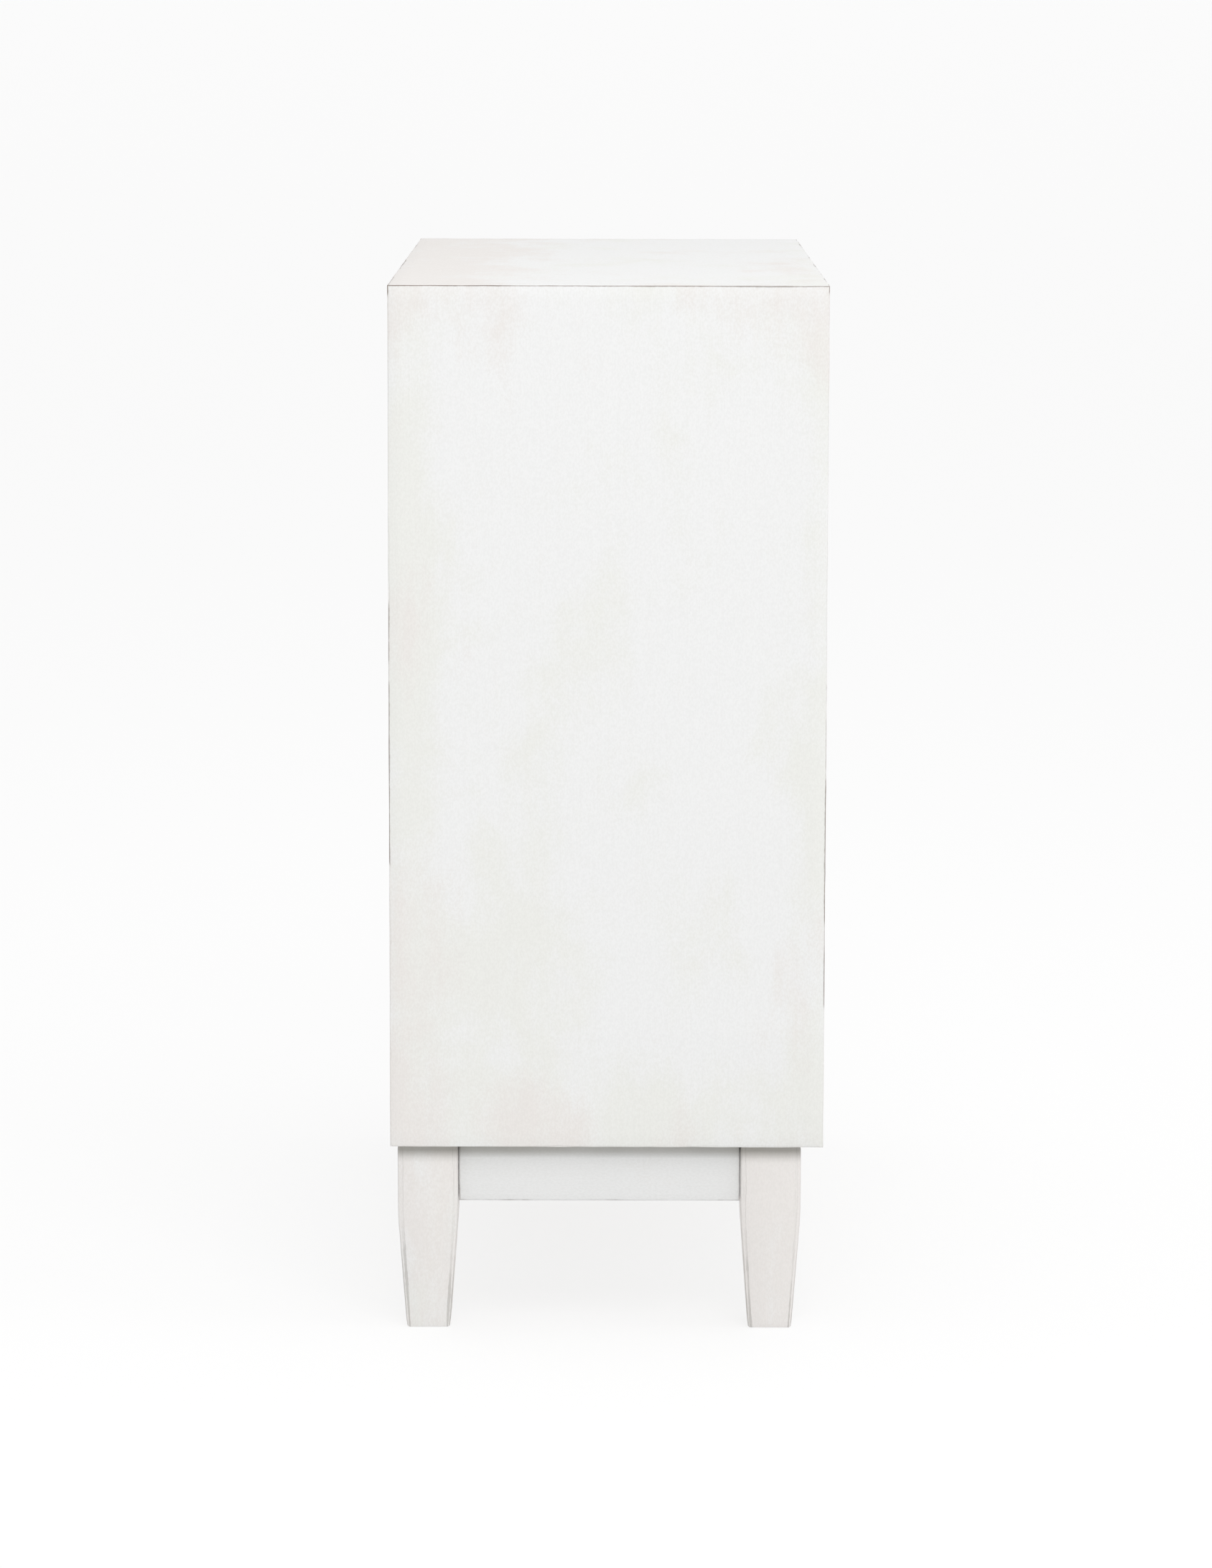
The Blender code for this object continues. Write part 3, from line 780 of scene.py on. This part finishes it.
for number, side in enumerate(("left", "right", "front", "back")):
    node = f"apron_{side}"
    low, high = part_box(node)
    long, thick = (1, 0) if side in ("left", "right") else (0, 1)
    shoulder = Vector()
    shoulder[long] = TENON_LENGTH
    apron = saw_board(f"{side}_apron", low + shoulder, high - shoulder)
    for way_out in (-1, 1):
        pick(apron, "FACE", lambda middle, way: way[long] * way_out > 0.9)
        bpy.ops.mesh.inset(thickness=TENON_SHOULDER)
        bpy.ops.mesh.extrude_region_move(TRANSFORM_OT_translate={"value": shoulder * way_out})
    ease(apron, 0.0010, wanted=lambda middle, way: abs(way[long]) > 0.9 and middle.z < low.z + HAIR)
    divide(apron, long)
    divide(apron, 2, 0.006)
    put_down(apron)
    rub_edges(apron, low + shoulder, high - shoulder, 0.0006, width=0.003)
    # Each apron is darkened all over by painted shade, and more at its top just under the case.
    mark_board(
        apron,
        low + shoulder,
        high - shoulder,
        long,
        71.9 + 2.3 * number,
        age_at=lambda point: APRON_AGE,
        painted_shade_at=lambda point: max(APRON_PAINTED_SHADE, painted_shade_under_case(point)),
    )
    dress(apron, paint, "case", [node])

low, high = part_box("cross_rail")
rail = saw_board("under_rail", low, high)
ease(rail, 0.0012)
divide(rail, 1, 0.05)
put_down(rail)
mark_board(rail, low, high, 1, 83.3, bare_at=lambda point: 1.0)
dress(rail, bare_wood, "case", ["cross_rail"])

# ---------------------------------------------------------------- corner braces
# A bare block lies across the inside of each corner of the base. A bolt runs through it into the leg,
# and is drawn up with a washer and a hexagon nut.

BRACE_THICKNESS = 0.020
# Each part's middle along the bolt, radius, thickness, number of sides and eased rim.
BOLT_PARTS = {
    "washer": (-0.0008, 0.0090, 0.0014, 24, 0.0003),
    "nut": (-0.0046, 0.0075, 0.0060, 6, 0.0006),
    "stub": (-0.0060, 0.0040, 0.0120, 20, 0.0006),
}

for number, corner in enumerate(("back_left", "front_left", "back_right", "front_right")):
    node = f"corner_brace_{corner}"
    low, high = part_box(node)
    inward = Vector((1 if "left" in corner else -1, 1 if "front" in corner else -1, 0))
    inner = Vector((low.x if inward.x > 0 else high.x, low.y if inward.y > 0 else high.y, low.z))
    far = high.x - low.x
    near = far - BRACE_THICKNESS * math.sqrt(2)
    brace = saw_board(f"{corner}_brace", low, high)
    saw_through(inner + Vector((near * inward.x, 0, 0)), -inward)
    saw_through(inner + Vector((far * inward.x, 0, 0)), inward)
    ease(brace, 0.0010)
    put_down(brace)
    mark_board(brace, low, high, 0, 91.7 + 4.1 * number)
    dress(brace, bare_wood, "case", [node])

    seat = inner + Vector((far * inward.x / 2, far * inward.y / 2, (high.z - low.z) / 2))
    turned = [turn_disc(part, (0, middle, 0), *shape) for part, (middle, *shape) in BOLT_PARTS.items()]
    bolt = gather(f"{corner}_bolt", turned)
    bolt.location = seat
    bolt.rotation_euler.z = math.atan2(inward.y, inward.x) + math.pi / 2
    bpy.ops.object.transform_apply(location=True, rotation=True, scale=True)
    dress(bolt, iron, "case")

# ---------------------------------------------------------------- drawers
# Each drawer is a box of thin bare boards, dovetailed at all four corners, with a floor slid into
# grooves. A painted front is screwed to it from inside. One drawer is made and the rest are its copies.

FIRST = "drawer_r1_c1"
WALL = 0.010
FLOOR_RAISE = 0.006
FLOOR_THICKNESS = 0.005
FLOOR_GROOVE = 0.004
PINS = 4
PIN_NARROW = 0.0030
PIN_WIDE = 0.0047
PIN_SPARE = 0.00012
PIN_ROOT = 0.0005
BOX_EASE = 0.0008

front_low, front_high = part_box(f"{FIRST}_front")
box_low, box_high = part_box(f"{FIRST}_box")
front = saw_board("front", front_low, front_high)
ease(front, 0.0016, segments=3, wanted=lambda middle, way: middle.y < front_low.y + HAIR)
divide(front, 0)
divide(front, 2)
put_down(front)
rub_edges(front, front_low, front_high, 0.0009)
mark_board(front, front_low, front_high, 0, 0.0)


def dovetail_pins(end_y, into_box, side_x, into_wall, spare):
    """The pins of one corner: wedges along X, narrow at the box's outside and wide within."""
    pins = []
    for number in range(PINS):
        middle = box_low.z + (box_high.z - box_low.z) * (number + 0.5) / PINS
        xs = sorted((side_x - into_wall * spare * 4, side_x + into_wall * (WALL + PIN_ROOT)))
        ys = sorted((end_y, end_y + into_box * WALL))
        half = PIN_NARROW + spare
        pin = saw_board("pin", Vector((xs[0], ys[0], middle - half)), Vector((xs[1], ys[1], middle + half)))
        pick(pin, "FACE", lambda centre, way: way.y * into_box > 0.9)
        wide_place = (sum(xs) / 2, end_y + into_box * WALL, middle)
        widen = (PIN_WIDE + spare) / half
        bpy.ops.transform.resize(value=(1.0, 1.0, widen), center_override=wide_place)
        pins.append(put_down(pin))
    return gather("pins", pins)


ends = {"front_wall": (box_low.y, 1), "back_wall": (box_high.y, -1)}
sides = {"left_wall": (box_low.x, 1), "right_wall": (box_high.x, -1)}
inset = Vector((WALL - FLOOR_GROOVE, WALL - FLOOR_GROOVE, 0))
floor_low, floor_high = box_low + inset, box_high - inset
floor_low.z = box_low.z + FLOOR_RAISE
floor_high.z = floor_low.z + FLOOR_THICKNESS
drawer_parts = {"front": (front, paint, "painted_wood", "front")}

for number, (name, (end_y, into_box)) in enumerate(ends.items()):
    ys = sorted((end_y, end_y + into_box * WALL))
    wall_low = Vector((box_low.x + WALL, ys[0], box_low.z))
    wall_high = Vector((box_high.x - WALL, ys[1], box_high.z))
    wall = saw_board(name, wall_low, wall_high)
    ease(wall, BOX_EASE, wanted=lambda middle, way: middle.z > box_high.z - HAIR and abs(way.x) > 0.9)
    put_down(wall)
    for side_x, into_wall in sides.values():
        combine(wall, "UNION", dovetail_pins(end_y, into_box, side_x, into_wall, 0.0))
    cut_out(wall, (floor_low - fit / 2, floor_high + fit / 2))
    outer_low, outer_high = Vector((box_low.x, ys[0], box_low.z)), Vector((box_high.x, ys[1], box_high.z))
    mark_board(wall, outer_low, outer_high, 0, 5.0 + number)
    drawer_parts[name] = (wall, bare_wood, "drawer_wood", "box")

for number, (name, (side_x, into_wall)) in enumerate(sides.items()):
    xs = sorted((side_x, side_x + into_wall * WALL))
    wall_low = Vector((xs[0], box_low.y, box_low.z))
    wall_high = Vector((xs[1], box_high.y, box_high.z))
    wall = saw_board(name, wall_low, wall_high)
    ease(wall, BOX_EASE, wanted=lambda middle, way: middle.z > box_high.z - HAIR and abs(way.y) > 0.9)
    put_down(wall)
    for end_y, into_box in ends.values():
        combine(wall, "DIFFERENCE", dovetail_pins(end_y, into_box, side_x, into_wall, PIN_SPARE))
    cut_out(wall, (floor_low - fit / 2, floor_high + fit / 2))
    mark_board(wall, wall_low, wall_high, 1, 8.0 + number)
    drawer_parts[name] = (wall, bare_wood, "drawer_wood", "box")

base = saw_board("floor_board", floor_low, floor_high)
ease(base, 0.0004)
put_down(base)
mark_board(base, floor_low, floor_high, 0, 11.0)
drawer_parts["base"] = (base, bare_wood, "drawer_wood", "box")

# ---------------------------------------------------------------- pulls, cards and screws
# A cast plate with a raised window for a card above a rounded cup for the fingers, in dark bronze that
# is rubbed bright where it stands out. Two slotted round-head screws hold it.

CUP_HALF = 0.028
CUP_WALL = 0.002
PLATE = 0.002
CARD_HALF = 0.028
CARD_HEIGHT = 0.019
CARD_BORDER = 0.005
RIM = 0.0024
RIM_HEIGHT = 0.0012
OVERLAP = 0.0010
LIP_RADIUS = 0.0013
CARD_TUCK = 0.0015
SCREW_RADIUS = 0.0032
SCREW_HEIGHT = 0.0016
SCREW_SPREAD = 0.033
SCREW_RISE = 0.014

bronze = Finish("aged_bronze", Metallic=0.9)
place = bronze.attribute("board")
tone = bronze.attribute("tone", "Fac")
patches = bronze.noise(place, (70.0, 70.0, 70.0), tone, detail=3.0)
grit = bronze.noise(place, (900.0, 900.0, 900.0), tone + 3.0, detail=1.0)
standing_out = (place.axes()[1] * -1.0).ramp(-0.006, 0.010)
bright = (standing_out * 0.75 + patches * 0.6).ramp(0.62, 1.15)
colour = bronze.mix(patches.ramp(0.35, 0.70), (0.070, 0.050, 0.036), (0.150, 0.100, 0.060))
bronze.set(
    Base_Color=bronze.mix(bright * 0.8, colour, (0.420, 0.280, 0.140)),
    Roughness=0.50 - bright * 0.18 + grit * 0.10,
    Normal=bronze.bump(grit * 0.5 + patches, 0.00014),
)

card_paper = Finish("old_card", Roughness=0.85, Specular_IOR_Level=0.2)
place = card_paper.attribute("board")
tone = card_paper.attribute("tone", "Fac")
foxing = card_paper.noise(place, (160.0, 160.0, 160.0), tone, detail=4.0, roughness=0.7)
fibres = card_paper.noise(place, (900.0, 1400.0, 1400.0), tone + 3.0)
yellowed = card_paper.mix(foxing.ramp(0.40, 0.75), (0.700, 0.620, 0.460), (0.540, 0.420, 0.260))
card_paper.set(
    Base_Color=card_paper.mix(fibres.ramp(0.3, 0.8) * 0.25, yellowed, (0.760, 0.700, 0.560)),
    Normal=card_paper.bump(fibres, 0.00005),
)

pull_low, pull_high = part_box(f"{FIRST}_pull")
middle_x = (pull_low.x + pull_high.x) / 2
plate_face = pull_high.y - PLATE
reach_out = front_low.y - pull_low.y


def cast_block(low, high, corner, segments=4):
    """A flat casting between two corners, with its corners rounded as seen from the front."""
    block = saw_board("casting", low, high)
    ease(block, corner, segments=segments, wanted=lambda middle, way: abs(way.y) > 0.9)
    return block


def turn_bar(centre, radius, length, sides):
    """Turns a round bar along X, and leaves it open in edit mode."""
    bpy.ops.object.select_all(action="DESELECT")
    turned = (0.0, math.radians(90.0), 0.0)
    bpy.ops.mesh.primitive_cylinder_add(
        vertices=sides, radius=radius, depth=length, location=centre, rotation=turned
    )
    bpy.ops.object.transform_apply(location=True, rotation=True, scale=True)
    bpy.ops.object.mode_set(mode="EDIT")
    return bpy.context.object


def quarter_cup(radius, half_width, corner, back_y, bottom_z):
    """A quarter of a round bar along X, rounded at its ends: the cup's outside, or the hollow in it."""
    cup = turn_bar(Vector((middle_x, front_low.y, pull_low.z)), radius, 2 * half_width, 72)
    saw_through((middle_x, back_y, 0), (0, 1, 0))
    saw_through((middle_x, 0, pull_low.z), (0, 0, -1))
    ease(
        cup,
        corner,
        segments=4,
        wanted=lambda middle, way: abs(abs(middle.x - middle_x) - half_width) < HAIR
        and middle.y < back_y - HAIR
        and middle.z > pull_low.z + HAIR,
    )
    if bottom_z < pull_low.z:
        pick(cup, "FACE", lambda middle, way: way.z < -0.9)
        bpy.ops.mesh.extrude_region_move(TRANSFORM_OT_translate={"value": (0, 0, bottom_z - pull_low.z)})
    return put_down(cup)


pull = cast_block(
    Vector((pull_low.x, plate_face, pull_low.z)), Vector((pull_high.x, pull_high.y, pull_high.z)), 0.005
)
pick(pull, "FACE", lambda middle, way: way.y < -0.9)
bpy.ops.mesh.inset(thickness=0.0012)
bpy.ops.mesh.inset(thickness=0.0006, depth=-0.0005)
put_down(pull)
window_low = Vector((middle_x - CARD_HALF, plate_face - 0.004, pull_high.z - CARD_BORDER - CARD_HEIGHT))
window_high = Vector((middle_x + CARD_HALF, pull_high.y + 0.001, pull_high.z - CARD_BORDER))
rim_grow = Vector((RIM, 0, RIM))
rim_low, rim_high = window_low - rim_grow, window_high + rim_grow
rim_low.y, rim_high.y = plate_face - RIM_HEIGHT, plate_face + OVERLAP
rim = cast_block(rim_low, rim_high, 0.0020)
ease(rim, 0.0007, wanted=lambda middle, way: middle.y < rim_low.y + HAIR)
combine(pull, "UNION", put_down(rim))
combine(pull, "DIFFERENCE", put_down(cast_block(window_low, window_high, 0.0010)))
combine(pull, "UNION", quarter_cup(reach_out, CUP_HALF, 0.0045, plate_face + OVERLAP, pull_low.z))
combine(
    pull,
    "DIFFERENCE",
    quarter_cup(reach_out - CUP_WALL, CUP_HALF - CUP_WALL, 0.0030, plate_face - 0.0001, pull_low.z - 0.004),
)
lip_centre = (middle_x, pull_low.y + LIP_RADIUS, pull_low.z + LIP_RADIUS)
lip = turn_bar(lip_centre, LIP_RADIUS, 2 * CUP_HALF - 0.012, 20)
ease(lip, 0.0006, wanted=lambda middle, way: abs(way.x) < 0.1)
combine(pull, "UNION", put_down(lip))
mark_board(pull, pull_low, pull_high, 0, 0.0)
drawer_parts["pull"] = (pull, bronze, "aged_bronze", "pull")

card_low = Vector((window_low.x - CARD_TUCK, front_low.y - 0.00027, window_low.z - CARD_TUCK))
card_high = Vector((window_high.x + CARD_TUCK, front_low.y - 0.00005, window_high.z + CARD_TUCK))
card = saw_board("card", card_low, card_high)
divide(card, 0, 0.006)
put_down(card)
mark_board(card, card_low, card_high, 0, 0.0)
drawer_parts["card"] = (card, card_paper, None, None)


def drive_screw(spot, slot_angle, head_height):
    """A round-head screw seated at a spot on a face that looks along -Y, with its slot at an angle."""
    head = turn_disc("screw", spot, SCREW_RADIUS, head_height * 2, 24, head_height * 0.9)
    slot_size = Vector((SCREW_RADIUS * 1.2, head_height * 0.45, 0.0004))
    top = spot - Vector((0, head_height, 0))
    slot_cut = put_down(saw_board("slot", top - slot_size, top + slot_size))
    turn = Matrix.Rotation(slot_angle, 4, "Y")
    slot_cut.data.transform(Matrix.Translation(top) @ turn @ Matrix.Translation(-top))
    combine(head, "DIFFERENCE", slot_cut)
    return head


screws = []
for way, angle in ((-1, 0.45), (1, -0.95)):
    spot = Vector((middle_x + way * SCREW_SPREAD, plate_face + 0.0002, pull_low.z + SCREW_RISE))
    screws.append(drive_screw(spot, angle, SCREW_HEIGHT))
screw_set = gather("screws", screws)
mark_board(screw_set, pull_low, pull_high, 0, 0.0)
drawer_parts["screws"] = (screw_set, bronze, "aged_bronze", None)

drawers = sorted(body for body in frame["bodies"] if body != "case")
for number, body in enumerate(drawers):
    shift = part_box(f"{body}_front")[0] - front_low
    for order, (part, (model, finish, slot_name, node)) in enumerate(drawer_parts.items()):
        piece = bpy.data.objects.new(f"{body}_{part}_piece", model.data.copy())
        piece.data.name = piece.name
        bpy.context.scene.collection.objects.link(piece)
        piece.data.transform(Matrix.Translation(shift))
        tones = [1.7 * number + 0.9 * order + 101.0] * len(piece.data.vertices)
        piece.data.attributes["tone"].data.foreach_set("value", tones)
        nodes = [f"{body}_{node}"] if node else []
        dress(piece, finish, body, nodes, smooth=40.0 if finish is bronze else 30.0)
for model, *_ in drawer_parts.values():
    bpy.data.meshes.remove(model.data)
